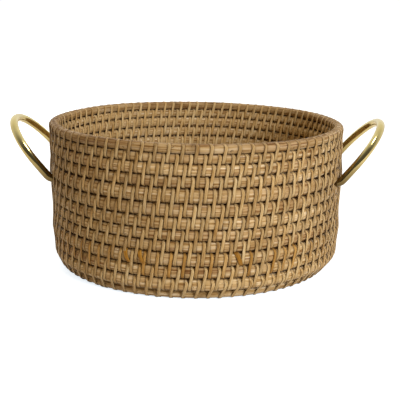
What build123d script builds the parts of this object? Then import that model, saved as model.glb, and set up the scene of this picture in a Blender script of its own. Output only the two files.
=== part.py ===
"""Round basket of rattan hoops lashed with cane strips, on a coiled base, with two brass handles."""

from build123d import *
import math
import os

# Wall hoops, listed from the rim down
HOOP_DIAMETERS = [8.2, 8.4, 11.0, 10.6, 14.0, 12.6, 11.4, 10.0, 10.6, 13.0, 11.4, 12.0]
WALL_RADIUS = 157.5  # from the basket's axis to the middle of a hoop at half height
WALL_FLARE = 2.2  # the rim lies this far outside that radius, and the lowest hoop inside it
CANE_END_GAP = 0.5  # between the two butted ends of a hoop
SEAM_ANGLES = [90.0, 130.0, 50.0]  # where the ends meet, at the back, taken in turn

# Base, one cane wound as a flat spiral
BASE_CANE_DIAMETER = 9.2
BASE_TUCK = 0.7  # the outer end of the spiral lies this far inside the lowest hoop's middle
BASE_EYE_RADIUS = 12.0  # the last half turn, at the centre
GAP_SAMPLES = 3000  # points along the spiral, to measure its least gap to itself

# Cane strips that lash two neighbouring rods together
STRIP_WIDTH = 3.6
STRIP_THICKNESS = 1.1
STRIP_FIT = 0.1  # between a strip and the rod that it goes round
STRIP_SPACE = 0.15  # between strips that lie side by side
ROWS_SIDE_BY_SIDE = 3  # a row starts again at the same angle after this many rows
BASE_TIES = 16  # long strips across the base, each once round all its turns

# Brass handles
HANDLE_DIAMETER = 9.0
HANDLE_SPACING = 110.0  # between the middles of the two legs
HANDLE_REACH = 75.0  # from the feet to the middle of the rod at the top of the loop
HANDLE_TILT = 50.0  # degrees above level
HANDLE_BEND_RADIUS = 54.0
HANDLE_FOOT_BEND = 9.5
HANDLE_STANDOFF = 9.5  # the foot's corner lies this far outside the middles of the hoops there
HANDLE_HOOP = 5  # the feet go in below this hoop, counted from the rim
POCKET_CLEARANCE = 0.6
SHOULDER_OFFSET = 2.0  # the leg's shoulder lies this far outside the middles of the hoops there

# Screwed end of each leg, inside the wall
STUD_DIAMETER = 5.0
STUD_CLEARANCE = 0.2
STUD_TIP_ROOM = 0.8  # between the stud's end and the bottom of the nut's bore
WASHER_DIAMETER = 16.0
WASHER_THICKNESS = 1.2
WASHER_FIT = 0.1
NUT_WIDTH = 8.0
NUT_HEIGHT = 4.0
NUT_DOME_RADIUS = 3.7
NUT_CAP_HEIGHT = 1.2

# Sizes that follow from those above
rod_gap = STRIP_THICKNESS + 2 * STRIP_FIT
base_height = STRIP_THICKNESS + STRIP_FIT + BASE_CANE_DIAMETER / 2
hoop_heights = []
stack_top = base_height + BASE_CANE_DIAMETER / 2
for diameter in reversed(HOOP_DIAMETERS):
    hoop_heights.insert(0, stack_top + rod_gap + diameter / 2)
    stack_top += rod_gap + diameter
half_height = (hoop_heights[0] + hoop_heights[-1]) / 2
half_span = hoop_heights[0] - half_height
hoop_radii = [WALL_RADIUS + WALL_FLARE * ((height - half_height) / half_span) ** 3 for height in hoop_heights]
inner_radii = [radius - diameter / 2 for radius, diameter in zip(hoop_radii, HOOP_DIAMETERS)]
strip_inner_radius = min(inner_radii) - STRIP_FIT - STRIP_THICKNESS
stitch_room = ROWS_SIDE_BY_SIDE * (STRIP_WIDTH + STRIP_SPACE)
stitch_count = BASE_TIES * int(2 * math.pi * strip_inner_radius / stitch_room / BASE_TIES)
stitch_angle = 360 / stitch_count

# Handle feet, between the hoop above and the hoop below
foot_height = hoop_heights[HANDLE_HOOP - 1] - HOOP_DIAMETERS[HANDLE_HOOP - 1] / 2 - rod_gap / 2
foot_hoops = (HANDLE_HOOP - 1, HANDLE_HOOP)
wall_radius_at_feet = sum(hoop_radii[hoop] for hoop in foot_hoops) / 2
foot_radius = wall_radius_at_feet + HANDLE_STANDOFF
foot_angle = math.degrees(math.asin(HANDLE_SPACING / 2 / foot_radius))
foot_x = foot_radius * math.cos(math.radians(foot_angle))
foot_bearings = [foot_angle, -foot_angle, 180 + foot_angle, 180 - foot_angle]
shoulder_radius = wall_radius_at_feet + SHOULDER_OFFSET
washer_bow = strip_inner_radius - math.sqrt(strip_inner_radius**2 - (WASHER_DIAMETER / 2) ** 2)
inner_radius_at_feet = min(inner_radii[hoop] for hoop in foot_hoops)
washer_radius = inner_radius_at_feet - STRIP_FIT - STRIP_THICKNESS - WASHER_FIT - washer_bow
nut_radius = washer_radius - WASHER_THICKNESS
nut_bore_depth = NUT_HEIGHT + NUT_CAP_HEIGHT
stud_end_radius = nut_radius - nut_bore_depth + STUD_TIP_ROOM
pocket_radius = HANDLE_DIAMETER / 2 + POCKET_CLEARANCE

# Base spiral, half turns whose middles change sides
base_pitch = BASE_CANE_DIAMETER + rod_gap
base_outer_radius = hoop_radii[-1] - BASE_TUCK
spiral_offset = base_pitch / 4
half_turns = int((base_outer_radius - 2 * spiral_offset - BASE_EYE_RADIUS) / (base_pitch / 2))
half_turn_radii = [base_outer_radius - spiral_offset - turn * base_pitch / 2 for turn in range(half_turns)]


def spiral_middle(turn):
    """Height along Y of the middle of a half turn."""
    return spiral_offset if turn % 2 == 0 else -spiral_offset


def save(piece, name):
    """Label a finished piece and write it under its own name."""
    piece.label = name
    export_step(piece, f"parts/{name}.step")


def lashing(first, first_diameter, second, second_diameter):
    """One flat band round two rods, whose middles are given as radius and height."""
    with BuildPart() as band:
        with BuildSketch(Plane.XZ.offset(-STRIP_WIDTH / 2)):
            for middle, diameter in ((first, first_diameter), (second, second_diameter)):
                with Locations(middle):
                    Circle(diameter / 2 + STRIP_FIT + STRIP_THICKNESS)
            make_hull()
            offset(amount=-STRIP_THICKNESS, mode=Mode.SUBTRACT)
        extrude(amount=STRIP_WIDTH)
    return band.part.solid()


def foot_plane(bearing, radius):
    """Plane square to the wall at a handle's foot, facing outwards."""
    turn = math.radians(bearing)
    outward = (math.cos(turn), math.sin(turn), 0)
    return Plane(
        origin=(radius * outward[0], radius * outward[1], foot_height),
        x_dir=(-outward[1], outward[0], 0),
        z_dir=outward,
    )


def misses_feet(angle):
    """True where a strip at this angle stays clear of the handles' feet."""
    room = pocket_radius + STRIP_WIDTH / 2 + STRIP_SPACE
    for bearing in foot_bearings:
        apart = abs((angle - bearing + 180) % 360 - 180)
        if math.radians(apart) * wall_radius_at_feet < room:
            return False
    return True


def stitch_angles(row):
    """Angles of the strips in one row, each row a step further round."""
    start = -row * stitch_angle / ROWS_SIDE_BY_SIDE
    return [start + stitch * stitch_angle for stitch in range(stitch_count)]


def turn_radius(turn, angle):
    """Distance from the basket's axis to the middle of a half turn at this angle."""
    along = spiral_middle(turn) * math.sin(math.radians(angle))
    return along + math.sqrt(half_turn_radii[turn] ** 2 - spiral_offset**2 + along**2)


def spiral_half(angle):
    """0 on the side where the spiral starts, 1 on the other side."""
    return 0 if math.cos(math.radians(angle)) < 0 else 1


def misses_coil_end(angle):
    """True where a strip at this angle stays clear of the straight outer end of the spiral."""
    across = base_outer_radius * math.cos(math.radians(angle))
    room = STRIP_WIDTH / 2 + STRIP_SPACE
    return math.sin(math.radians(angle)) < 0 or not 0 < across < BASE_CANE_DIAMETER + room


os.makedirs("parts", exist_ok=True)

# Wall hoops
for hoop, diameter in enumerate(HOOP_DIAMETERS):
    seam = SEAM_ANGLES[hoop % len(SEAM_ANGLES)]
    cane_arc = 360 - math.degrees(CANE_END_GAP / hoop_radii[hoop])
    with BuildPart() as wall_hoop:
        with BuildSketch(Plane.XZ.rotated((0, 0, seam))):
            with Locations((hoop_radii[hoop], hoop_heights[hoop])):
                Circle(diameter / 2)
        revolve(axis=Axis.Z, revolution_arc=cane_arc)
        if hoop in foot_hoops:
            for bearing in foot_bearings:
                with BuildSketch(foot_plane(bearing, shoulder_radius)):
                    Circle(pocket_radius)
                extrude(amount=diameter, mode=Mode.SUBTRACT)
                with BuildSketch(foot_plane(bearing, wall_radius_at_feet)):
                    Circle(STUD_DIAMETER / 2 + STUD_CLEARANCE)
                extrude(amount=diameter, both=True, mode=Mode.SUBTRACT)
    save(wall_hoop.part, "rim_hoop" if hoop == 0 else f"wall_hoop_{hoop + 1:02d}")

# Base coil
with BuildPart() as base_coil:
    with BuildLine(Plane.XY.offset(base_height)) as spiral:
        Line((BASE_CANE_DIAMETER, base_outer_radius), (0, base_outer_radius))
        for turn, radius in enumerate(half_turn_radii):
            CenterArc((0, spiral_middle(turn)), radius, 90 + 180 * (turn % 2), 180)
        side = 1 if half_turns % 2 == 0 else -1
        eye_start = (0, side * (half_turn_radii[-1] - spiral_offset))
        eye_end = (0, eye_start[1] - side * 2 * BASE_EYE_RADIUS)
        CenterArc((0, eye_start[1] - side * BASE_EYE_RADIUS), BASE_EYE_RADIUS, 90 * side, 180)
        Line(eye_end, (side * BASE_CANE_DIAMETER, eye_end[1]))
    spiral_path = spiral.wire()
    with BuildSketch(Plane(origin=spiral_path @ 0, z_dir=spiral_path % 0)):
        Circle(BASE_CANE_DIAMETER / 2)
    sweep(path=spiral_path)
save(base_coil.part, "base_coil")

spiral_points = [spiral_path @ (sample / GAP_SAMPLES) for sample in range(GAP_SAMPLES + 1)]
skipped = math.ceil(3 * BASE_CANE_DIAMETER / (spiral_path.length / GAP_SAMPLES))
least_distance = min(
    math.dist(tuple(here), tuple(there))
    for place, here in enumerate(spiral_points)
    for there in spiral_points[place + skipped :]
)
print(f"least gap of the base spiral to itself: {least_distance - BASE_CANE_DIAMETER:.2f} mm")

# Lashings of the wall, each row round one hoop and the next one down. The strips of a row stay
# separate solids, grouped without being joined.
for row in range(len(HOOP_DIAMETERS) - 1):
    upper = (hoop_radii[row], hoop_heights[row])
    lower = (hoop_radii[row + 1], hoop_heights[row + 1])
    band = lashing(upper, HOOP_DIAMETERS[row], lower, HOOP_DIAMETERS[row + 1])
    angles = stitch_angles(row)
    if row + 1 in foot_hoops or row in foot_hoops:
        angles = [angle for angle in angles if misses_feet(angle)]
    wall_binding = Compound(children=[band.moved(Rotation(0, 0, angle)) for angle in angles])
    save(wall_binding, f"wall_binding_{row + 1:02d}")

# Lashings of the lowest hoop to the outer turn of the base
lowest = len(HOOP_DIAMETERS) - 1
foot_strips = []
for angle in filter(misses_coil_end, stitch_angles(lowest)):
    outer_turn = (turn_radius(spiral_half(angle), angle), base_height)
    hoop_middle = (hoop_radii[lowest], hoop_heights[lowest])
    band = lashing(hoop_middle, HOOP_DIAMETERS[lowest], outer_turn, BASE_CANE_DIAMETER)
    foot_strips.append(band.moved(Rotation(0, 0, angle)))
save(Compound(children=foot_strips), "foot_binding")

# Ties of the base, each a strip from the outer turn to the innermost and back
base_ties = []
for angle in stitch_angles(lowest + 1)[:: stitch_count // BASE_TIES]:
    half = spiral_half(angle)
    reach = turn_radius(half, angle)
    away_x = reach * math.cos(math.radians(angle))
    away_y = reach * math.sin(math.radians(angle)) - spiral_middle(half)
    bearing = math.degrees(math.atan2(away_y, away_x))
    outer_turn = (half_turn_radii[half], base_height)
    inner_turn = (half_turn_radii[half::2][-1], base_height)
    tie = lashing(outer_turn, BASE_CANE_DIAMETER, inner_turn, BASE_CANE_DIAMETER)
    base_ties.append(tie.moved(Location((0, spiral_middle(half), 0)) * Rotation(0, 0, bearing)))
save(Compound(children=base_ties), "base_binding")

# Handles, with the washers and cap nuts that hold them inside the wall
tilt = math.radians(HANDLE_TILT)
top_height = foot_height + HANDLE_REACH * math.sin(tilt)
for side, name in ((1, "right"), (-1, "left")):
    foot_bearing = foot_angle if side > 0 else 180 - foot_angle
    top_x = side * (foot_x + HANDLE_REACH * math.cos(tilt))
    shoulders = [foot_plane(turn, shoulder_radius) for turn in (foot_bearing, -foot_bearing)]
    with BuildPart() as handle:
        with BuildLine() as loop:
            FilletPolyline(
                shoulders[0].origin,
                (side * foot_x, HANDLE_SPACING / 2, foot_height),
                (top_x, HANDLE_SPACING / 2, top_height),
                (top_x, -HANDLE_SPACING / 2, top_height),
                (side * foot_x, -HANDLE_SPACING / 2, foot_height),
                shoulders[1].origin,
                radius=[HANDLE_FOOT_BEND, HANDLE_BEND_RADIUS, HANDLE_BEND_RADIUS, HANDLE_FOOT_BEND],
            )
        with BuildSketch(shoulders[0]):
            Circle(HANDLE_DIAMETER / 2)
        sweep(path=loop.line)
        for shoulder in shoulders:
            with BuildSketch(-shoulder):
                Circle(STUD_DIAMETER / 2)
            extrude(amount=shoulder_radius - stud_end_radius)
    save(handle.part, f"{name}_handle")

    with BuildPart() as washers:
        for turn in (foot_bearing, -foot_bearing):
            with BuildSketch(-foot_plane(turn, washer_radius)):
                Circle(WASHER_DIAMETER / 2)
                Circle(STUD_DIAMETER / 2 + STUD_CLEARANCE, mode=Mode.SUBTRACT)
            extrude(amount=WASHER_THICKNESS)
    save(washers.part, f"{name}_washers")

    with BuildPart() as cap_nuts:
        for turn in (foot_bearing, -foot_bearing):
            seat = -foot_plane(turn, nut_radius)
            with BuildSketch(seat):
                RegularPolygon(NUT_WIDTH / 2, 6, major_radius=False)
            extrude(amount=NUT_HEIGHT)
            with Locations(seat.offset(NUT_HEIGHT).location):
                Sphere(NUT_DOME_RADIUS, arc_size1=0, align=(Align.CENTER, Align.CENTER, Align.MIN))
            with BuildSketch(seat):
                Circle(STUD_DIAMETER / 2 + STUD_CLEARANCE)
            extrude(amount=nut_bore_depth, mode=Mode.SUBTRACT)
    save(cap_nuts.part, f"{name}_cap_nuts")
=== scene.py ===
"""Rattan basket with brass handles: looks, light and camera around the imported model."""

import math
import random
from collections import namedtuple

import bpy
import numpy as np
from mathutils import Matrix, Vector


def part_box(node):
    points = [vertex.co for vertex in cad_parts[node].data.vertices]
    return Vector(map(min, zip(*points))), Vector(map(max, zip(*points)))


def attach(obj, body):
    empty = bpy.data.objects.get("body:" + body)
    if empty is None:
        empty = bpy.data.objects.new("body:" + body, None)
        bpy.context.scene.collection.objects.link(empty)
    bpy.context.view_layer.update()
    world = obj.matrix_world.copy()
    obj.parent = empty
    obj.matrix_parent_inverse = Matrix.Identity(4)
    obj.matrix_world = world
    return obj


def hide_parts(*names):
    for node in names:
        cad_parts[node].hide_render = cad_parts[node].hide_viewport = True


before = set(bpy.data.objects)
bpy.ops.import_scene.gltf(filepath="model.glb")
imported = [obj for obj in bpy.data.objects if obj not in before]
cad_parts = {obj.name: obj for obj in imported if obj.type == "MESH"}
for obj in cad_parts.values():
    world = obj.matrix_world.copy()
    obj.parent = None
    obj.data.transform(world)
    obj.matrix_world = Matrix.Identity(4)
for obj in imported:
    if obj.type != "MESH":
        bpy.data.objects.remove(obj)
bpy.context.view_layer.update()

# Camera, fitted to the outline and the rows of rods in the photograph, in metres and degrees
IMAGE_PIXELS = 400
FOCAL_PIXELS = 860.0
CAMERA_DISTANCE = 0.968
CAMERA_HEIGHT = 0.303
CAMERA_PITCH = 13.75
CAMERA_AZIMUTH = 2.0
CAMERA_ROLL = 0.5
CAMERA_SIDESTEP = 0.0046
SENSOR_WIDTH = 36.0

# Light: places and sizes in metres, lamp powers in watts, the rest as strengths where 1 is white
KEY_PLACE = (0.95, -1.24, 0.74)
KEY_SIZE = 0.6
KEY_POWER = 23.0
KEY_TINT = (0.97, 1.0, 1.14)
BACK_PLACE = (-0.75, 1.30, 0.90)
BACK_SIZE = 0.8
BACK_POWER = 12.0
GLINT_PLACE = (0.36, -0.14, 1.30)
GLINT_SIZE = 0.3
GLINT_POWER = 4.5
LIGHT_TARGET = (0.0, 0.0, 0.08)
WORLD_LIGHT = 0.48
WORLD_TINT = (1.0, 0.75, 0.44, 1.0)
WHITE = (1.0, 1.0, 1.0, 1.0)
# reflections turn from front to back between the directions whose Y is minus and plus this
REFLECTED_BAND = 0.6
REFLECTED_FRONT = 0.10
REFLECTED_BACK = 1.0
FLOOR_SHADES = (0.59, 0.61)
FLOOR_GLOW = 0.88
FLOOR_TINT = (0.85, 0.93, 1.0, 1.0)
FLOOR_MIRRORED = 0.40
# the floor doesn't glow under the basket: outwards from this middle the glow starts, and then is full
FLOOR_DARK_MIDDLE = (0.0, 0.009, 0.0)
FLOOR_DARK_RADIUS = 0.149
FLOOR_LIT_RADIUS = 0.152
FLOOR_HALF = 40.0

# Rods of the wall, in metres; unevenness and bulge are shares of a rod's radius
ROD_RINGS = 2000
ROD_SIDES = 24
ROD_SQUARENESS = 2.6
# how much thicker the rods are than in the part, which brings them closer together
ROD_SWELL = 0.0007
ROD_UNEVEN = 0.014
ROD_WANDER = 0.0009
# how fast the wander changes from row to row, and the rise of the rim from right to left
ROW_DRIFT = 0.16
RIM_SLOPE = 0.008
# growth rings: nearest place of the first, their spacing and its spread, and their length and bulge
GROWTH_FIRST = 0.03
GROWTH_SPACING = 0.24
GROWTH_SPACINGS = (0.7, 1.3)
GROWTH_LENGTH = 0.004
GROWTH_BULGE = 0.035
# where the ends of the hoops meet, in degrees, and half the opening between them, in radians
SEAM_ANGLES = (90.0, 130.0, 50.0)
SEAM_HALF_GAP = 0.0006

# Cane strips, in metres; each range holds the shares of a size that strips are drawn from
STRIP_WIDTH = 0.0034
STRIP_WIDTHS = (0.93, 1.04)
STRIP_THICKNESS = 0.0009
STRIP_THICKNESSES = (0.9, 1.05)
STRIP_FIT = 0.0001
STRIP_ARC_STEPS = 6
# at the far side of each rod a strip is pinched to this share of its thickness, and its width takes
# this part of the pinch; between these shares of the way round it grows back
STRIP_PINCH = 0.4
STRIP_NARROWING = 0.25
PINCH_SHARES = (0.03, 0.09)
# section of a strip: place across as a share of its width, depth as a share of its thickness, painted
# shade
STRIP_SECTION = np.array([
    (-0.50, 0.20, 0.75), (-0.48, 0.65, 0.32), (-0.36, 0.94, 0.0), (0.0, 1.0, 0.0), (0.36, 0.94, 0.0),
    (0.48, 0.65, 0.32), (0.50, 0.20, 0.75), (0.40, 0.0, 0.9), (-0.40, 0.0, 0.9),
])
STITCHES_PER_ROW = 82
# in radians: how far the stitches are drawn apart at the front, and their slow and quick unevenness
FRONT_SPREAD = 0.085
STITCH_DRIFT = 0.006
STITCH_JITTER = 0.0009
# distance along a rod from a strip of the row above to one of the row below, and the strips' leans
PAIR_SPACING = 0.0039
OUTSIDE_LEANS = [0.0029] * 9 + [0.0031, 0.0038, 0.0046]
OUTSIDE_LEAN_RANGE = (0.85, 1.15)
INSIDE_LEAN = 0.0032
INSIDE_LEAN_RANGE = (0.7, 1.3)
# shares of the way round two rods where the lean starts and stops, outside and then inside
LEAN_SHARES = (0.0, 0.1, 0.4, 0.6, 0.9, 1.0)
# share of the lean that a strip has reached where it crosses the outside of each rod
ROD_SHARE = 0.31
# ends of strips that stand out of the golden row: angles round the basket and arc over the rod, in
# degrees
LOOSE_END_ANGLES = (-107.0, -112.5, -72.5)
LOOSE_END_ARC = (-68.0, 72.0)
LOOSE_END_RINGS = 13
LOOSE_END_LEAN = 0.0070
LOOSE_END_WIDTH = 0.0044
# how far they stand off the rod, in thicknesses, and the share of their length that rises to it
LOOSE_END_LIFT = 1.3
LOOSE_END_RISE = 0.25

# Colour of the cane: tone from 0, dark, to 1, pale, and accent from 0, straw, to 1, ochre
ROD_TONE_SPREAD = 0.2
STRIP_TONES = (0.1, 1.0)
# change of tone at the rim, and at the foot below this row
RIM_TONE = -0.3
FOOT_TONE = 0.65
FOOT_TONE_START = 8
# how much paler the strips are painted inside, as painted light on the inner wall
INSIDE_PAINTED_LIGHT = 0.6
GOLDEN_ROW = 9
GOLDEN_SHARE = 0.88
GOLDEN_ACCENTS = (0.3, 0.85)
PLAIN_ACCENT = 0.3
BASE_ACCENT = 0.2
LOOSE_END_ACCENT = 1.0

# Painted shade and dirt from 0 to 1: painted shade between rods, beside the strips and where these turn
# over a rod, and dirt at growth rings
SHADE_AND_DIRT_COLOUR = (46, 18, 4)
CREVICE_START = 0.76
CREVICE_RANGE = 0.14
CREVICE_SHADE = 0.95
GROWTH_DIRT = 0.35
SHADE_REACH = 0.0008
SHADE_WRAP = 0.4
STRIP_SHADE_STRENGTH = 0.62
TURN_START = 0.55
TURN_SHADE = 0.65
ROD_MOST_SHADE_AND_DIRT = 0.95
COIL_MOST_SHADE_AND_DIRT = 0.9
STRIP_MOST_SHADE = 0.92

# Base, in metres; the gap, the eye and the number of lines are as in the part
COIL_GAP = 0.0013
COIL_EYE_RADIUS = 0.012
# how much thicker the cane is on its inner side, which closes the view between the turns
COIL_WIDENING = 0.0009
COIL_STEP = 0.004
COIL_SIDES = 16
BASE_LINES = 16
BASE_ZIGZAG = 0.0024

# Handles, in metres and radians, with the sizes of the part; the hoop above the feet counts from 0
HANDLE_RADIUS = 0.0045
HANDLE_REACH = 0.075
HANDLE_TILT = math.radians(50.0)
HANDLE_BEND_RADIUS = 0.054
HANDLE_FOOT_BEND = 0.0095
HANDLE_STANDOFF = 0.0095
HANDLE_HOOP = 4
SHOULDER_OFFSET = 0.002
# fineness of the rod's mesh, room that the strips leave at a foot, and painted shade from the foot upwards
HANDLE_SIDES = 32
HANDLE_STEP = 0.0015
POCKET_ROOM = 0.0066
FOOT_SHADE_LENGTH = 0.05
FOOT_SHADE_STRENGTH = 0.95

# Unevenness: sizes of the sine waves, then for each kind how many, and their fewest and most turns
WAVE_SIZES = (0.4, 1.0)
WANDER_WAVES = (5, 2, 7)
SWELLING_WAVES = (6, 3, 14)
ROD_TONE_WAVES = (4, 1, 6)
STITCH_WAVES = (5, 3, 11)
COIL_SWELLING_WAVES = (8, 10, 120)
COIL_TONE_WAVES = (6, 4, 40)

# Seeds of the random draws; those of hoops and rows have the number of the hoop or row added
WANDER_UP_SEEDS = (11, 12)
WANDER_OUT_SEEDS = (13, 14)
STITCH_SEED = 21
SWELLING_SEED = 100
HOOP_SEED = 200
ROD_TONE_SEED = 300
ROW_SEED = 500
LOOSE_END_SEED = 650
LASHING_SEED = 800
COIL_SWELLING_SEED = 900
COIL_TONE_SEED = 901
COIL_GROWTH_SEED = 902
# lengths of grain that the pieces are cut from, in metres
ROD_GRAIN_ROOM = 50
STRIP_GRAIN_ROOM = 40

# keeps divisions from zero, and whole numbers from being rounded down
TINY = 1e-6
WALL_NODES = ["rim_hoop"] + [f"wall_hoop_{number:02d}" for number in range(2, 13)]
HARDWARE_NODES = ["left_washers", "left_cap_nuts", "right_washers", "right_cap_nuts"]


def srgb(red, green, blue):
    """Linear colour from 8-bit display values."""
    def linear(value):
        value /= 255
        return value / 12.92 if value <= 0.04045 else ((value + 0.055) / 1.055) ** 2.4
    return (linear(red), linear(green), linear(blue), 1.0)


# Mesh helpers

def make_object(name, points, faces, material, grain=None, floats=None):
    """Smooth mesh object with its grain coordinates and per-point values."""
    mesh = bpy.data.meshes.new(name)
    mesh.from_pydata(np.asarray(points).reshape(-1, 3).tolist(), [], faces)
    mesh.polygons.foreach_set("use_smooth", [True] * len(mesh.polygons))
    if grain is not None:
        layer = mesh.attributes.new("grain", "FLOAT_VECTOR", "POINT")
        layer.data.foreach_set("vector", np.asarray(grain, np.float32).ravel())
    for key, values in (floats or {}).items():
        layer = mesh.attributes.new(key, "FLOAT", "POINT")
        layer.data.foreach_set("value", np.asarray(values, np.float32).ravel())
    mesh.materials.append(material)
    mesh.update()
    piece = bpy.data.objects.new(name, mesh)
    bpy.context.scene.collection.objects.link(piece)
    return piece


def dress(piece, slot, *nodes):
    """Ties a piece to the basket, in place of the nodes that it stands for."""
    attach(piece, "root")
    if nodes:
        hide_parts(*nodes)


def tube_faces(rings, sides, closed=False):
    """Faces of a tube made of rings of points, with flat ends unless it closes on itself."""
    ring = np.arange(rings if closed else rings - 1)[:, None]
    side = np.arange(sides)[None, :]
    after = (side + 1) % sides
    here = ring * sides
    there = (ring + 1) % rings * sides
    faces = np.stack([here + side, here + after, there + after, there + side], -1).reshape(-1, 4).tolist()
    if not closed:
        faces.append(list(range(sides - 1, -1, -1)))
        faces.append(list(range((rings - 1) * sides, rings * sides)))
    return faces


def waves(seed, count, lowest, highest):
    """Smooth random function, between -1 and 1, made of a few sine waves of whole turns."""
    draw = random.Random(seed)
    terms = [(draw.randint(lowest, highest), draw.uniform(0, 2 * math.pi), draw.uniform(*WAVE_SIZES))
             for _ in range(count)]
    total = sum(size for _, _, size in terms)

    def value(angle):
        return sum(size * np.sin(turns * angle + phase) for turns, phase, size in terms) / total
    return value


def tube_points(centres, radii, tangents, normals, sides, widening=0.0, squareness=2.0):
    """Points of a tube along a line of centres, and the section angle of each side.
    The section can be wider on the side that the normals point to, and squarer than the circle at 2."""
    section = np.linspace(0, 2 * math.pi, sides, endpoint=False)
    cosine, sine = np.cos(section), np.sin(section)
    bulge = (np.abs(cosine) ** squareness + np.abs(sine) ** squareness) ** (-1 / squareness)
    across = np.cross(tangents, normals)
    ring = (cosine * bulge)[None, :, None] * normals[:, None, :]
    ring = ring + (sine * bulge)[None, :, None] * across[:, None, :]
    wider = widening * np.clip(cosine, 0, None)[None, :, None] * normals[:, None, :]
    return centres[:, None, :] + radii[:, None, None] * ring + wider, section


def unit_rows(vectors):
    """The vectors, each of length 1."""
    return vectors / np.linalg.norm(vectors, axis=1)[:, None]


def lengths_along(centres):
    """Distance along a line of points from its start."""
    return np.concatenate([[0], np.cumsum(np.linalg.norm(np.diff(centres, axis=0), axis=1))])


# Materials

def new_material(name):
    """Empty node material, its node tree and its shader."""
    material = bpy.data.materials.new(name)
    material.use_nodes = True
    tree = material.node_tree
    tree.nodes.clear()
    output = tree.nodes.new("ShaderNodeOutputMaterial")
    shader = tree.nodes.new("ShaderNodeBsdfPrincipled")
    tree.links.new(shader.outputs["BSDF"], output.inputs["Surface"])
    return material, tree, shader


def noise(tree, vector, scale, detail, roughness):
    """Noise of a stretched vector; scale is per metre along, then across."""
    mapping = tree.nodes.new("ShaderNodeMapping")
    mapping.inputs["Scale"].default_value = scale
    tree.links.new(vector, mapping.inputs["Vector"])
    texture = tree.nodes.new("ShaderNodeTexNoise")
    texture.inputs["Scale"].default_value = 1.0
    texture.inputs["Detail"].default_value = detail
    texture.inputs["Roughness"].default_value = roughness
    tree.links.new(mapping.outputs["Vector"], texture.inputs["Vector"])
    return texture.outputs["Fac"]


def ramp(tree, factor, stops):
    """Colour ramp with the given stops."""
    node = tree.nodes.new("ShaderNodeValToRGB")
    elements = node.color_ramp.elements
    elements[0].position, elements[0].color = stops[0]
    elements[1].position, elements[1].color = stops[-1]
    for position, colour in stops[1:-1]:
        elements.new(position).color = colour
    tree.links.new(factor, node.inputs["Fac"])
    return node.outputs["Color"]


def mix(tree, data_type, mode, factor, first, second):
    """Mix of two colours or two numbers, each a socket or a value."""
    node = tree.nodes.new("ShaderNodeMix")
    node.data_type = data_type
    if data_type == "RGBA":
        node.blend_type = mode
    sockets = [socket for socket in node.inputs if socket.enabled]
    for value, socket in zip((factor, first, second), sockets):
        if isinstance(value, bpy.types.NodeSocket):
            tree.links.new(value, socket)
        else:
            socket.default_value = value
    return next(socket for socket in node.outputs if socket.enabled)


def blend(tree, factor, first, second):
    """Colour between two colours."""
    return mix(tree, "RGBA", "MIX", factor, first, second)


def multiply(tree, first, second):
    """Product of two colours."""
    return mix(tree, "RGBA", "MULTIPLY", 1.0, first, second)


def blend_numbers(tree, factor, first, second):
    """Number between two numbers."""
    return mix(tree, "FLOAT", None, factor, first, second)


def attribute(tree, name, output):
    """Value stored on the mesh."""
    node = tree.nodes.new("ShaderNodeAttribute")
    node.attribute_name = name
    return node.outputs[output]


def map_range(tree, value, source, target):
    """Value moved from one range to another, and kept inside it."""
    node = tree.nodes.new("ShaderNodeMapRange")
    node.inputs["From Min"].default_value, node.inputs["From Max"].default_value = source
    node.inputs["To Min"].default_value, node.inputs["To Max"].default_value = target
    tree.links.new(value, node.inputs["Value"])
    return node.outputs["Result"]


def add_bump(tree, shader, height, strength, distance):
    """Bump from a height value."""
    node = tree.nodes.new("ShaderNodeBump")
    node.inputs["Strength"].default_value = strength
    node.inputs["Distance"].default_value = distance
    tree.links.new(height, node.inputs["Height"])
    tree.links.new(node.outputs["Normal"], shader.inputs["Normal"])


def tone_ramp(tree):
    """Darker or lighter cane, by the tone stored on the mesh."""
    return ramp(tree, attribute(tree, "tone", "Fac"), [
        (0.0, (0.66, 0.60, 0.52, 1.0)),
        (1.0, (1.05, 1.02, 0.97, 1.0)),
    ])


def rattan_material():
    """Peeled rattan rod: straw and tan, with thin brown lines along it and dark specks."""
    material, tree, shader = new_material("rattan")
    grain = attribute(tree, "grain", "Vector")
    streaks = noise(tree, grain, (24.0, 560.0, 560.0), 5.0, 0.62)
    patches = noise(tree, grain, (9.0, 70.0, 70.0), 3.0, 0.5)
    lines = noise(tree, grain, (14.0, 900.0, 900.0), 2.0, 0.5)
    specks = noise(tree, grain, (330.0, 620.0, 620.0), 2.0, 0.5)
    fibres = noise(tree, grain, (60.0, 2400.0, 2400.0), 2.0, 0.5)
    straw = ramp(tree, streaks, [
        (0.33, srgb(128, 92, 46)),
        (0.43, srgb(177, 146, 94)),
        (0.54, srgb(203, 177, 129)),
        (0.67, srgb(224, 207, 172)),
    ])
    tan = ramp(tree, streaks, [
        (0.34, srgb(112, 76, 38)),
        (0.50, srgb(176, 143, 96)),
        (0.66, srgb(206, 179, 134)),
    ])
    colour = blend(tree, map_range(tree, patches, (0.48, 0.74), (0.0, 0.9)), straw, tan)
    colour = blend(tree, map_range(tree, lines, (0.58, 0.67), (0.0, 0.7)), colour, srgb(124, 80, 42))
    colour = blend(tree, map_range(tree, specks, (0.66, 0.73), (0.0, 0.75)), colour, srgb(66, 42, 20))
    colour = multiply(tree, colour, tone_ramp(tree))
    # painted shade and growth-ring dirt darken the rod towards this colour
    colour = blend(tree, attribute(tree, "shade_and_dirt", "Fac"), colour, srgb(*SHADE_AND_DIRT_COLOUR))
    tree.links.new(colour, shader.inputs["Base Color"])
    roughness = map_range(tree, streaks, (0.3, 0.7), (0.62, 0.44))
    tree.links.new(roughness, shader.inputs["Roughness"])
    shader.inputs["Specular IOR Level"].default_value = 0.18
    add_bump(tree, shader, fibres, 0.35, 0.0004)
    return material


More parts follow.
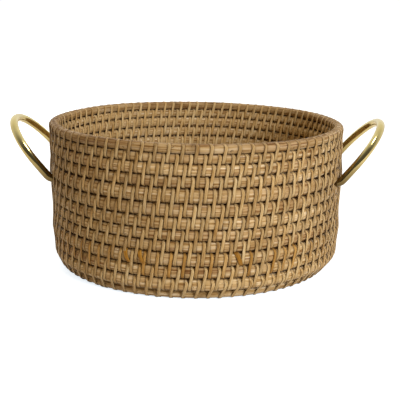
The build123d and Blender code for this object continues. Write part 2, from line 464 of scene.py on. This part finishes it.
def cane_material():
    """Split cane strip: pale straw with fine fibres along it, ochre by the accent stored on the mesh."""
    material, tree, shader = new_material("cane")
    grain = attribute(tree, "grain", "Vector")
    fibres = noise(tree, grain, (90.0, 2600.0, 2600.0), 3.0, 0.6)
    blotches = noise(tree, grain, (70.0, 190.0, 190.0), 3.0, 0.5)
    straw = ramp(tree, fibres, [
        (0.32, srgb(138, 103, 54)),
        (0.50, srgb(190, 165, 114)),
        (0.68, srgb(216, 198, 158)),
    ])
    ochre = ramp(tree, fibres, [
        (0.30, srgb(110, 73, 22)),
        (0.52, srgb(169, 122, 44)),
        (0.72, srgb(198, 156, 74)),
    ])
    colour = blend(tree, map_range(tree, blotches, (0.46, 0.75), (0.0, 0.5)), straw, ochre)
    colour = blend(tree, attribute(tree, "accent", "Fac"), colour, ochre)
    colour = multiply(tree, colour, tone_ramp(tree))
    # painted shade darkens the strip towards this colour
    colour = blend(tree, attribute(tree, "shade_and_dirt", "Fac"), colour, srgb(*SHADE_AND_DIRT_COLOUR))
    tree.links.new(colour, shader.inputs["Base Color"])
    roughness = map_range(tree, fibres, (0.3, 0.7), (0.55, 0.38))
    tree.links.new(roughness, shader.inputs["Roughness"])
    shader.inputs["Specular IOR Level"].default_value = 0.2
    add_bump(tree, shader, fibres, 0.3, 0.0003)
    return material


def brass_material():
    """Polished pale brass with faint rubbing marks, and painted shade in brown near the feet."""
    material, tree, shader = new_material("brass")
    coordinates = tree.nodes.new("ShaderNodeTexCoord").outputs["Object"]
    clouds = noise(tree, coordinates, (60.0, 60.0, 60.0), 3.0, 0.5)
    scratches = noise(tree, coordinates, (900.0, 160.0, 900.0), 2.0, 0.5)
    colour = ramp(tree, clouds, [
        (0.35, srgb(208, 188, 122)),
        (0.65, srgb(222, 203, 138)),
    ])
    # painted shade near the handle feet
    colour = blend(tree, attribute(tree, "shade_and_dirt", "Fac"), colour, srgb(70, 44, 18))
    tree.links.new(colour, shader.inputs["Base Color"])
    roughness = map_range(tree, clouds, (0.3, 0.7), (0.10, 0.18))
    tree.links.new(roughness, shader.inputs["Roughness"])
    shader.inputs["Metallic"].default_value = 1.0
    add_bump(tree, shader, scratches, 0.03, 0.00005)
    return material


rattan = rattan_material()
cane = cane_material()
brass = brass_material()


# Wall hoops

class Hoop:
    """One bent cane of the wall, with its size from the part and a hand-made unevenness."""

    wander_up = [waves(seed, *WANDER_WAVES) for seed in WANDER_UP_SEEDS]
    wander_out = [waves(seed, *WANDER_WAVES) for seed in WANDER_OUT_SEEDS]
    rim_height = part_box(WALL_NODES[0])[1].z

    def __init__(self, number, node):
        low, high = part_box(node)
        self.number = number
        self.node = node
        self.rod = (high.z - low.z) / 2
        self.radius = high.x - self.rod - ROD_SWELL
        self.height = (high.z + low.z) / 2
        self.swelling = waves(SWELLING_SEED + number, *SWELLING_WAVES)

    def section(self, angle):
        """Place of the rod's middle, from the axis and from the ground, and its radius."""
        lift = self.height / self.rim_height
        first, second = math.cos(ROW_DRIFT * self.number), math.sin(ROW_DRIFT * self.number)
        up = first * self.wander_up[0](angle) + second * self.wander_up[1](angle)
        out = first * self.wander_out[0](angle) + second * self.wander_out[1](angle)
        slope = RIM_SLOPE * self.radius * np.cos(angle)
        reach = self.radius + lift * ROD_WANDER * out
        height = self.height + lift * (ROD_WANDER * up - slope)
        rod = (self.rod + ROD_SWELL) * (1 + ROD_UNEVEN * self.swelling(angle))
        return reach, height, rod


hoops = [Hoop(number, node) for number, node in enumerate(WALL_NODES)]
lowest = len(hoops) - 1


# Places of the strips

Strip = namedtuple("Strip", "angle width thickness outside_lean inside_lean tone accent grain")

stitch_drift = waves(STITCH_SEED, *STITCH_WAVES)
row_turns = [0.0]
for upper_lean, lower_lean in zip(OUTSIDE_LEANS, OUTSIDE_LEANS[1:]):
    step = PAIR_SPACING + ROD_SHARE * (upper_lean + lower_lean)
    row_turns.append(row_turns[-1] - step / hoops[0].radius)


def stitch_angle(stitch):
    """Angle of a stitch; the stitches stand wider at the front than at the back."""
    plain = 2 * math.pi * stitch / STITCHES_PER_ROW
    return plain + FRONT_SPREAD * math.cos(plain)


def paleness(row):
    """Change of tone down the wall: the rim is a little darker and the lowest rows are paler."""
    return np.interp(row, [0, 1, FOOT_TONE_START, lowest], [RIM_TONE, 0.0, 0.0, FOOT_TONE])


def draw_strip(draw, angle, lean, accent):
    """One strip, a little different from the next."""
    return Strip(
        angle=angle,
        width=STRIP_WIDTH * draw.uniform(*STRIP_WIDTHS),
        thickness=STRIP_THICKNESS * draw.uniform(*STRIP_THICKNESSES),
        outside_lean=lean * draw.uniform(*OUTSIDE_LEAN_RANGE),
        inside_lean=INSIDE_LEAN * draw.uniform(*INSIDE_LEAN_RANGE),
        tone=draw.uniform(*STRIP_TONES),
        accent=accent,
        grain=draw.uniform(0, STRIP_GRAIN_ROOM),
    )


def plan_row(row):
    """All the strips of one row."""
    draw = random.Random(ROW_SEED + row)
    strips = []
    for stitch in range(STITCHES_PER_ROW):
        angle = stitch_angle(stitch) + row_turns[row]
        angle += STITCH_DRIFT * stitch_drift(angle) + draw.uniform(-STITCH_JITTER, STITCH_JITTER)
        golden = row == GOLDEN_ROW and draw.random() < GOLDEN_SHARE
        accent = draw.uniform(*GOLDEN_ACCENTS) if golden else PLAIN_ACCENT * draw.random() ** 2
        strip = draw_strip(draw, angle, OUTSIDE_LEANS[row], accent)
        strips.append(strip._replace(tone=strip.tone + paleness(row)))
    return strips


rows = [plan_row(row) for row in range(len(OUTSIDE_LEANS))]


# Rods of the wall

def growth_rings(along, draw):
    """Strength of the growth rings of a cane along its length."""
    growth = np.zeros_like(along)
    place = draw.uniform(GROWTH_FIRST, GROWTH_SPACING)
    while place < along[-1]:
        growth += np.exp(-(((along - place) / GROWTH_LENGTH) ** 2))
        place += GROWTH_SPACING * draw.uniform(*GROWTH_SPACINGS)
    return growth


def strip_shade(hoop, angles):
    """Painted shade that the strips leave beside them on the outside of a rod, from 0 to 1."""
    crossings = [(strip, 1) for strip in rows[hoop.number]]
    if hoop.number > 0:
        crossings += [(strip, -1) for strip in rows[hoop.number - 1]]
    places = np.array([strip.angle + side * ROD_SHARE * strip.outside_lean / hoop.radius
                       for strip, side in crossings])
    halves = np.array([strip.width / 2 for strip, _ in crossings])
    apart = (angles[:, None] - places[None, :] + math.pi) % (2 * math.pi) - math.pi
    beyond = np.abs(apart) * (hoop.radius + hoop.rod) - halves[None, :]
    return np.exp(-((beyond / SHADE_REACH) ** 2)).max(axis=1)


def rod_grain(along, section, rod_radius, offset):
    """Grain coordinates of a rod: along it, then across its section."""
    grain = np.zeros((len(along), len(section), 3))
    grain[:, :, 0] = along[:, None] + offset
    grain[:, :, 1] = (np.cos(section) * rod_radius)[None, :] + offset
    grain[:, :, 2] = (np.sin(section) * rod_radius)[None, :]
    return grain


def crevice(share):
    """Painted shade where a rod faces its neighbour, by how far it turns to it."""
    return CREVICE_SHADE * np.clip((np.abs(share) - CREVICE_START) / CREVICE_RANGE, 0, 1)


def build_hoop(hoop):
    """One bent cane with its growth rings, its butted ends and the painted shade beside the strips."""
    draw = random.Random(HOOP_SEED + hoop.number)
    wanted = math.radians(SEAM_ANGLES[hoop.number % len(SEAM_ANGLES)])
    cover = min(rows[hoop.number], key=lambda strip: abs(strip.angle - wanted))
    seam = cover.angle + ROD_SHARE * cover.outside_lean / hoop.radius
    angles = seam + np.linspace(SEAM_HALF_GAP, 2 * math.pi - SEAM_HALF_GAP, ROD_RINGS)
    reach, height, rod = hoop.section(angles)
    along = (angles - seam) * hoop.radius
    growth = growth_rings(along, draw)
    outward = np.stack([np.cos(angles), np.sin(angles), np.zeros_like(angles)], 1)
    tangents = np.stack([-np.sin(angles), np.cos(angles), np.zeros_like(angles)], 1)
    centres = outward * reach[:, None]
    centres[:, 2] = height
    radii = rod * (1 + GROWTH_BULGE * growth)
    points, section = tube_points(centres, radii, tangents, outward, ROD_SIDES, squareness=ROD_SQUARENESS)
    outside = np.clip(np.cos(section) + SHADE_WRAP, 0, 1)
    downward = np.sin(section)
    facing = downward if hoop.number > 0 else np.maximum(downward, 0)
    # painted shade between the rods, plus dirt at the growth rings
    shade_and_dirt = crevice(facing)[None, :] + GROWTH_DIRT * growth[:, None]
    # painted shade beside the strips, on the rod's outside
    shade_and_dirt = shade_and_dirt + STRIP_SHADE_STRENGTH * strip_shade(hoop, angles)[:, None] * outside[None, :]
    tone = 0.5 + 0.5 * waves(ROD_TONE_SEED + hoop.number, *ROD_TONE_WAVES)(angles)
    tone = tone + draw.uniform(-ROD_TONE_SPREAD, ROD_TONE_SPREAD) + paleness(hoop.number)
    tones = np.repeat(np.clip(tone, 0, 1)[:, None], ROD_SIDES, 1)
    floats = {"shade_and_dirt": np.clip(shade_and_dirt, 0, ROD_MOST_SHADE_AND_DIRT), "tone": tones}
    grain = rod_grain(along, section, hoop.rod, draw.uniform(0, ROD_GRAIN_ROOM))
    faces = tube_faces(ROD_RINGS, ROD_SIDES)
    return make_object(f"{hoop.node}_cane", points, faces, rattan, grain, floats)


for hoop in hoops:
    dress(build_hoop(hoop), "rattan", hoop.node)


# Cane strips

class StripSet:
    """Strips gathered into one mesh; with an open top, their upper turns carry no extra painted shade."""

    def __init__(self, open_top=False):
        self.open_top = open_top
        self.points = []
        self.faces = []
        self.grain = []
        self.floats = {"tone": [], "accent": [], "shade_and_dirt": []}
        self.count = 0

    def add(self, path, normals, shift, squeeze, place, strip, closed=True):
        """Adds a strip along a path of places from the axis and heights, moved sideways by shift."""
        along = lengths_along(path)
        # the last column of the section is painted shade on the strip's sides and underside
        across, deep, edge_shade = STRIP_SECTION.T
        tilt = np.arctan(np.gradient(shift) / np.maximum(np.gradient(along), TINY))
        side = across[None, :] * strip.width * (1 - STRIP_NARROWING * (1 - squeeze))[:, None]
        depth = deep[None, :] * strip.thickness * squeeze[:, None]
        slide = -np.sin(tilt)[:, None] * side
        forward = np.stack([-normals[:, 1], normals[:, 0]], 1)
        radial = path[:, 0, None] + normals[:, 0, None] * depth + forward[:, 0, None] * slide
        height = path[:, 1, None] + normals[:, 1, None] * depth + forward[:, 1, None] * slide
        sideways = shift[:, None] + np.cos(tilt)[:, None] * side
        points = np.stack(place(radial, sideways, height), -1)
        # painted shade where a strip turns into the gap between two rods
        facing = -normals[:, 1] if self.open_top else np.abs(normals[:, 1])
        turned_away = np.clip((facing - TURN_START) / (1 - TURN_START), 0, 1) ** 2
        shade_and_dirt = np.clip(TURN_SHADE * turned_away[:, None] + edge_shade[None, :], 0, STRIP_MOST_SHADE)
        lengthwise = np.broadcast_to(along[:, None] + strip.grain, side.shape)
        grain = np.stack([lengthwise, side + strip.grain, depth], -1)
        rings, sides = side.shape
        faces = tube_faces(rings, sides, closed)
        self.points.append(points.reshape(-1, 3))
        self.faces.extend([[corner + self.count for corner in face] for face in faces])
        self.grain.append(grain.reshape(-1, 3))
        self.floats["shade_and_dirt"].append(shade_and_dirt.ravel())
        # painted light: strips on the inside are made paler
        tone = strip.tone + INSIDE_PAINTED_LIGHT * np.clip(-normals[:, 0], 0, 1)
        self.floats["tone"].append(np.repeat(tone, sides))
        self.floats["accent"].append(np.full(rings * sides, strip.accent))
        self.count += rings * sides

    def build(self, name):
        """One object of all the strips."""
        floats = {key: np.concatenate(values) for key, values in self.floats.items()}
        points, grain = np.concatenate(self.points), np.concatenate(self.grain)
        return make_object(name, points, self.faces, cane, grain, floats)


def hull_path(first, first_radius, second, second_radius):
    """Closed line round two circles, from the far side of the first to the second and back.
    Gives the points, their outward normals and the share of the way: 0.5 is the far side of the second."""
    first, second = np.array(first), np.array(second)
    distance = np.linalg.norm(second - first)
    ahead = (second - first) / distance
    outside = np.array([ahead[1], -ahead[0]])
    lean = math.asin((first_radius - second_radius) / distance)
    quarter, half = math.pi / 2, math.pi
    steps = STRIP_ARC_STEPS
    arcs = [
        (first, first_radius, np.linspace(-quarter, lean, steps + 1)),
        (second, second_radius, np.linspace(lean, half - lean, 2 * steps + 1)),
        (first, first_radius, np.linspace(half - lean, half + quarter, steps, endpoint=False)),
    ]
    points, normals = [], []
    for centre, radius, angles in arcs:
        directions = np.cos(angles)[:, None] * outside + np.sin(angles)[:, None] * ahead
        points.append(centre + radius * directions)
        normals.append(directions)
    points = np.concatenate(points)
    along = lengths_along(points)
    top = along[2 * steps + 1]
    total = along[-1] + np.linalg.norm(points[0] - points[-1])
    share = np.where(along <= top, 0.5 * along / top, 0.5 + 0.5 * (along - top) / (total - top))
    return points, np.concatenate(normals), share


def add_band(strips, strip, place, first, first_radius, second, second_radius):
    """Adds a strip that closes round two rods, leaning one way outside and back inside."""
    fit = STRIP_FIT
    path, normals, share = hull_path(first, first_radius + fit, second, second_radius + fit)
    outside, inside = strip.outside_lean / 2, strip.inside_lean / 2
    turn = (inside - outside) / 2
    shift = np.interp(share, LEAN_SHARES, [turn, -outside, outside, -inside, inside, turn])
    # the far sides of the two rods lie half the way round from each other
    from_far_side = np.abs((share + 0.25) % 0.5 - 0.25)
    squeeze = np.interp(from_far_side, PINCH_SHARES, [STRIP_PINCH, 1.0])
    strips.add(path, normals, shift, squeeze, place, strip)


def at_angle(angle, middle=0.0):
    """Placing function for a strip at this angle round a middle on the Y axis."""
    cosine, sine = math.cos(angle), math.sin(angle)

    def place(radial, sideways, height):
        return radial * cosine - sideways * sine, middle + radial * sine + sideways * cosine, height
    return place


right_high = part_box("right_handle")[1]
leg_offset = right_high.y - HANDLE_RADIUS
foot_radius = hoops[HANDLE_HOOP].radius + HANDLE_STANDOFF
foot_angle = math.asin(leg_offset / foot_radius)
FOOT_BEARINGS = [foot_angle, -foot_angle, math.pi - foot_angle, math.pi + foot_angle]
# rows that reach a handle's foot, with the share of the lean that they have there
FOOT_ROWS = {HANDLE_HOOP - 1: -0.5, HANDLE_HOOP: 0.0, HANDLE_HOOP + 1: 0.5}


def meets_foot(row, strip):
    """True where a strip would run into a handle's foot."""
    if row not in FOOT_ROWS:
        return False
    angle = strip.angle + FOOT_ROWS[row] * strip.outside_lean / foot_radius
    apart = [abs((angle - bearing + math.pi) % (2 * math.pi) - math.pi) for bearing in FOOT_BEARINGS]
    return min(apart) * foot_radius < POCKET_ROOM


def build_wall_row(row):
    """The strips that lash one hoop to the next one down."""
    strips = StripSet(open_top=row == 0)
    for strip in rows[row]:
        if meets_foot(row, strip):
            continue
        upper_reach, upper_height, upper_rod = hoops[row].section(strip.angle)
        lower_reach, lower_height, lower_rod = hoops[row + 1].section(strip.angle)
        add_band(strips, strip, at_angle(strip.angle),
                 (lower_reach, lower_height), lower_rod, (upper_reach, upper_height), upper_rod)
    return strips.build(f"wall_binding_{row + 1:02d}_strips")


for row in range(lowest):
    dress(build_wall_row(row), "cane", f"wall_binding_{row + 1:02d}")


def build_loose_ends():
    """Ends of strips that stand out of the golden row, slanting against the others."""
    strips = StripSet()
    draw = random.Random(LOOSE_END_SEED)
    hoop = hoops[GOLDEN_ROW]
    for degrees in LOOSE_END_ANGLES:
        angle = math.radians(degrees)
        strip = draw_strip(draw, angle, 0.0, LOOSE_END_ACCENT)._replace(width=LOOSE_END_WIDTH)
        reach, height, rod = hoop.section(angle)
        section = np.radians(np.linspace(*LOOSE_END_ARC, LOOSE_END_RINGS))
        along = np.linspace(0, 1, LOOSE_END_RINGS)
        rise = np.clip(np.minimum(along, 1 - along) / LOOSE_END_RISE, 0, 1)
        lift = STRIP_FIT + LOOSE_END_LIFT * STRIP_THICKNESS * rise
        normals = np.stack([np.cos(section), np.sin(section)], 1)
        path = np.array([reach, height]) + (rod + lift)[:, None] * normals
        shift = LOOSE_END_LEAN * (0.5 - along)
        strips.add(path, normals, shift, np.ones(LOOSE_END_RINGS), at_angle(angle), strip, closed=False)
    return strips.build("loose_strip_ends")


dress(build_loose_ends(), "cane")


# Base coil, half turns whose middles change sides, as in the part

coil_low, coil_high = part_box("base_coil")
coil_rod = (coil_high.z - coil_low.z) / 2
coil_height = (coil_high.z + coil_low.z) / 2
coil_pitch = 2 * coil_rod + COIL_GAP
coil_outer = coil_high.y - coil_rod
coil_offset = coil_pitch / 4
half_turns = int((coil_outer - 2 * coil_offset - COIL_EYE_RADIUS) / (coil_pitch / 2) + TINY)
half_turn_radii = [coil_outer - coil_offset - turn * coil_pitch / 2 for turn in range(half_turns)]


def coil_middle(turn):
    """Place along Y of the middle of a half turn."""
    return coil_offset if turn % 2 == 0 else -coil_offset


def coil_centres():
    """Middle line of the coil, from its outer end to the eye."""
    centres = [(2 * coil_rod, coil_outer)]
    for turn, radius in enumerate(half_turn_radii):
        count = int(math.pi * radius / COIL_STEP)
        for number in range(count):
            angle = math.pi / 2 + math.pi * (turn % 2) + math.pi * number / count
            centres.append((radius * math.cos(angle), coil_middle(turn) + radius * math.sin(angle)))
    side = 1 if half_turns % 2 == 0 else -1
    eye_middle = side * (half_turn_radii[-1] - coil_offset - COIL_EYE_RADIUS)
    count = int(math.pi * COIL_EYE_RADIUS / COIL_STEP)
    for number in range(count + 1):
        angle = side * math.pi / 2 + math.pi * number / count
        eye_y = eye_middle + COIL_EYE_RADIUS * math.sin(angle)
        centres.append((COIL_EYE_RADIUS * math.cos(angle), eye_y))
    centres.append((side * 2 * coil_rod, eye_middle - side * COIL_EYE_RADIUS))
    return np.array([(x, y, coil_height) for x, y in centres])


def build_base_coil():
    """One cane wound as a flat spiral, a little uneven."""
    centres = coil_centres()
    rings = len(centres)
    along = lengths_along(centres)
    tangents = unit_rows(np.gradient(centres, axis=0))
    normals = np.cross(np.array([0.0, 0.0, 1.0]), tangents)
    turns = along / along[-1] * 2 * math.pi
    growth = growth_rings(along, random.Random(COIL_GROWTH_SEED))
    swelling = waves(COIL_SWELLING_SEED, *COIL_SWELLING_WAVES)(turns)
    radii = coil_rod * (1 + ROD_UNEVEN * swelling + GROWTH_BULGE * growth)
    points, section = tube_points(centres, radii, tangents, normals, COIL_SIDES, COIL_WIDENING)
    facing_next = np.clip(np.cos(section), 0, None)
    # painted shade on the side that faces the next turn, plus dirt at the growth rings
    shade_and_dirt = crevice(facing_next)[None, :] + GROWTH_DIRT * growth[:, None]
    tone = 0.5 + 0.5 * waves(COIL_TONE_SEED, *COIL_TONE_WAVES)(turns)
    tones = np.repeat(tone[:, None], COIL_SIDES, 1)
    floats = {"shade_and_dirt": np.clip(shade_and_dirt, 0, COIL_MOST_SHADE_AND_DIRT), "tone": tones}
    grain = rod_grain(along, section, coil_rod, 0.0)
    faces = tube_faces(rings, COIL_SIDES)
    return make_object("base_coil_cane", points, faces, rattan, grain, floats)


def spiral_half(angle):
    """0 on the side where the spiral starts, 1 on the other side."""
    return 0 if math.cos(angle) < 0 else 1


def turn_radius(turn, angle):
    """Distance from the axis to the middle of a half turn at this angle."""
    along = coil_middle(turn) * math.sin(angle)
    return along + math.sqrt(half_turn_radii[turn] ** 2 - coil_offset**2 + along**2)


def build_foot_row():
    """Strips round the lowest hoop and the outer turn of the base, but not over the coil's end."""
    strips = StripSet()
    end_reach = 2 * coil_rod + STRIP_WIDTH
    for strip in rows[lowest]:
        across = coil_outer * math.cos(strip.angle)
        if math.sin(strip.angle) > 0 and 0 < across < end_reach:
            continue
        reach, height, rod = hoops[lowest].section(strip.angle)
        outer_turn = turn_radius(spiral_half(strip.angle), strip.angle)
        add_band(strips, strip, at_angle(strip.angle),
                 (outer_turn, coil_height), coil_rod, (reach, height), rod)
    return strips.build("foot_binding_strips")


def build_base_lashing():
    """Lines of strips across the base, each strip round two neighbouring turns."""
    strips = StripSet()
    draw = random.Random(LASHING_SEED)
    for line in range(BASE_LINES):
        start_angle = stitch_angle((line + 0.5) * STITCHES_PER_ROW / BASE_LINES)
        for pair, turn in enumerate(range(spiral_half(start_angle), half_turns - 2, 2)):
            radius = half_turn_radii[turn]
            zigzag = BASE_ZIGZAG if pair % 2 else -BASE_ZIGZAG
            angle = start_angle + zigzag / radius
            strip = draw_strip(draw, angle, 0.0, BASE_ACCENT * draw.random())
            add_band(strips, strip, at_angle(angle, coil_middle(turn)),
                     (radius, coil_height), coil_rod, (radius - coil_pitch, coil_height), coil_rod)
    return strips.build("base_binding_strips")


dress(build_base_coil(), "rattan", "base_coil")
dress(build_foot_row(), "cane", "foot_binding")
dress(build_base_lashing(), "cane", "base_binding")


# Handles

def filleted(points, radii):
    """Line through the points with rounded corners, as close points."""
    line = [Vector(points[0])]
    for corner, radius in zip(range(1, len(points) - 1), radii):
        before, here, after = (Vector(points[corner + shift]) for shift in (-1, 0, 1))
        inward, outward = (here - before).normalized(), (after - here).normalized()
        turn = inward.angle(outward)
        start = here - inward * radius * math.tan(turn / 2)
        middle = start + (outward - inward * inward.dot(outward)).normalized() * radius
        axis = inward.cross(outward).normalized()
        count = int(radius * turn / HANDLE_STEP)
        for number in range(count + 1):
            line.append(middle + Matrix.Rotation(turn * number / count, 3, axis) @ (start - middle))
    line.append(Vector(points[-1]))
    return np.array([tuple(point) for point in line])


def build_handle(name, side):
    """Loop of polished rod whose feet bend into the wall."""
    top_x = side * (right_high.x - HANDLE_RADIUS)
    top_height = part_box(name)[1].z - HANDLE_RADIUS
    foot_x = top_x - side * HANDLE_REACH * math.cos(HANDLE_TILT)
    foot_height = top_height - HANDLE_REACH * math.sin(HANDLE_TILT)
    shoulder = (hoops[HANDLE_HOOP].radius + SHOULDER_OFFSET) / math.hypot(foot_x, leg_offset)
    corners = [(foot_x * shoulder, leg_offset * shoulder, foot_height), (foot_x, leg_offset, foot_height),
               (top_x, leg_offset, top_height)]
    corners += [(x, -y, z) for x, y, z in reversed(corners)]
    bends = [HANDLE_FOOT_BEND, HANDLE_BEND_RADIUS, HANDLE_BEND_RADIUS, HANDLE_FOOT_BEND]
    centres = filleted(corners, bends)
    tangents = unit_rows(np.gradient(centres, axis=0))
    normal = Vector((0, 0, 1))
    normals = []
    for tangent in tangents:
        direction = Vector(tangent)
        normal = (normal - direction * normal.dot(direction)).normalized()
        normals.append(tuple(normal))
    radii = np.full(len(centres), HANDLE_RADIUS)
    points, _ = tube_points(centres, radii, tangents, np.array(normals), HANDLE_SIDES)
    along = lengths_along(centres)
    from_end = np.minimum(along, along[-1] - along)
    # painted shade along the last part of each leg
    foot_shade = FOOT_SHADE_STRENGTH * np.clip(1 - from_end / FOOT_SHADE_LENGTH, 0, 1)
    floats = {"shade_and_dirt": np.repeat(foot_shade[:, None], HANDLE_SIDES, 1)}
    faces = tube_faces(len(centres), HANDLE_SIDES)
    return make_object(f"{name}_rod", points, faces, brass, floats=floats)


dress(build_handle("right_handle", 1), "brass", "right_handle")
dress(build_handle("left_handle", -1), "brass", "left_handle")

for node in HARDWARE_NODES:
    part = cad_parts[node]
    part.data.materials.clear()
    part.data.materials.append(brass)


# Floor, light and camera

def ray_kinds(tree):
    """Whether a ray comes from the camera, and whether it is off something glossy or through glass."""
    rays = tree.nodes.new("ShaderNodeLightPath")
    mirrored = blend_numbers(tree, rays.outputs["Is Glossy Ray"], rays.outputs["Is Transmission Ray"], 1.0)
    return rays.outputs["Is Camera Ray"], mirrored


def build_floor():
    """Wide pale floor that keeps the shadow and stays white to the camera."""
    half = FLOOR_HALF
    mesh = bpy.data.meshes.new("floor")
    corners = [(-half, -half, 0), (half, -half, 0), (half, half, 0), (-half, half, 0)]
    mesh.from_pydata(corners, [], [(0, 1, 2, 3)])
    floor = bpy.data.objects.new("floor", mesh)
    bpy.context.scene.collection.objects.link(floor)
    material, tree, shader = new_material("floor")
    coordinates = tree.nodes.new("ShaderNodeTexCoord").outputs["Object"]
    mottle = noise(tree, coordinates, (3.0, 3.0, 3.0), 2.0, 0.5)
    dark, light = ((shade, shade, shade, 1.0) for shade in FLOOR_SHADES)
    colour = ramp(tree, mottle, [(0.3, dark), (0.7, light)])
    tree.links.new(colour, shader.inputs["Base Color"])
    shader.inputs["Roughness"].default_value = 1.0
    shader.inputs["Specular IOR Level"].default_value = 0.0
    camera_ray, mirrored = ray_kinds(tree)
    glow_colour = blend(tree, camera_ray, WHITE, FLOOR_TINT)
    tree.links.new(glow_colour, shader.inputs["Emission Color"])
    glow = blend_numbers(tree, mirrored, 0.0, FLOOR_MIRRORED)
    distance = tree.nodes.new("ShaderNodeVectorMath")
    distance.operation = "DISTANCE"
    distance.inputs[1].default_value = FLOOR_DARK_MIDDLE
    tree.links.new(coordinates, distance.inputs[0])
    edge = (FLOOR_DARK_RADIUS, FLOOR_LIT_RADIUS)
    lit = map_range(tree, distance.outputs["Value"], edge, (0.0, FLOOR_GLOW))
    glow = blend_numbers(tree, camera_ray, glow, lit)
    tree.links.new(glow, shader.inputs["Emission Strength"])
    mesh.materials.append(material)


def build_world():
    """Surroundings: white to the camera, warm as light, and in reflections darker on the camera's side."""
    world = bpy.data.worlds.new("studio")
    bpy.context.scene.world = world
    world.use_nodes = True
    tree = world.node_tree
    background = tree.nodes["Background"]
    camera_ray, mirrored = ray_kinds(tree)
    seen = blend_numbers(tree, camera_ray, mirrored, 1.0)
    colour = blend(tree, seen, WORLD_TINT, WHITE)
    tree.links.new(colour, background.inputs["Color"])
    split = tree.nodes.new("ShaderNodeSeparateXYZ")
    direction = tree.nodes.new("ShaderNodeTexCoord").outputs["Generated"]
    tree.links.new(direction, split.inputs["Vector"])
    band = (-REFLECTED_BAND, REFLECTED_BAND)
    surroundings = map_range(tree, split.outputs["Y"], band, (REFLECTED_FRONT, REFLECTED_BACK))
    strength = blend_numbers(tree, mirrored, WORLD_LIGHT, surroundings)
    strength = blend_numbers(tree, camera_ray, strength, 1.0)
    tree.links.new(strength, background.inputs["Strength"])


def area_light(name, place, size, power, mirrored, tint=(1.0, 1.0, 1.0)):
    """Square soft lamp aimed at the basket: it lights it, or shows only as a glint in what is glossy."""
    data = bpy.data.lights.new(name, "AREA")
    data.shape = "SQUARE"
    data.size = size
    data.energy = power
    data.color = tint
    lamp = bpy.data.objects.new(name, data)
    lamp.visible_camera = False
    lamp.visible_glossy = mirrored
    lamp.visible_diffuse = not mirrored
    lamp.location = place
    aim = Vector(LIGHT_TARGET) - Vector(place)
    lamp.rotation_euler = aim.to_track_quat("-Z", "Y").to_euler()
    bpy.context.scene.collection.objects.link(lamp)


def build_camera():
    """Camera where the photograph was taken from."""
    data = bpy.data.cameras.new("camera")
    data.sensor_width = SENSOR_WIDTH
    data.lens = SENSOR_WIDTH * FOCAL_PIXELS / IMAGE_PIXELS
    data.clip_end = 2 * FLOOR_HALF
    camera = bpy.data.objects.new("camera", data)
    place = Vector((CAMERA_SIDESTEP, -CAMERA_DISTANCE, CAMERA_HEIGHT))
    turn = Matrix.Rotation(math.radians(CAMERA_AZIMUTH), 4, "Z")
    pitch = Matrix.Rotation(math.radians(90 - CAMERA_PITCH), 4, "X")
    roll = Matrix.Rotation(math.radians(CAMERA_ROLL), 4, "Z")
    camera.matrix_world = turn @ Matrix.Translation(place) @ pitch @ roll
    bpy.context.scene.collection.objects.link(camera)
    bpy.context.scene.camera = camera


build_floor()
build_world()
area_light("key", KEY_PLACE, KEY_SIZE, KEY_POWER, mirrored=False, tint=KEY_TINT)
area_light("back", BACK_PLACE, BACK_SIZE, BACK_POWER, mirrored=False)
area_light("glint", GLINT_PLACE, GLINT_SIZE, GLINT_POWER, mirrored=True)
build_camera()
bpy.context.scene.view_settings.view_transform = "Standard"
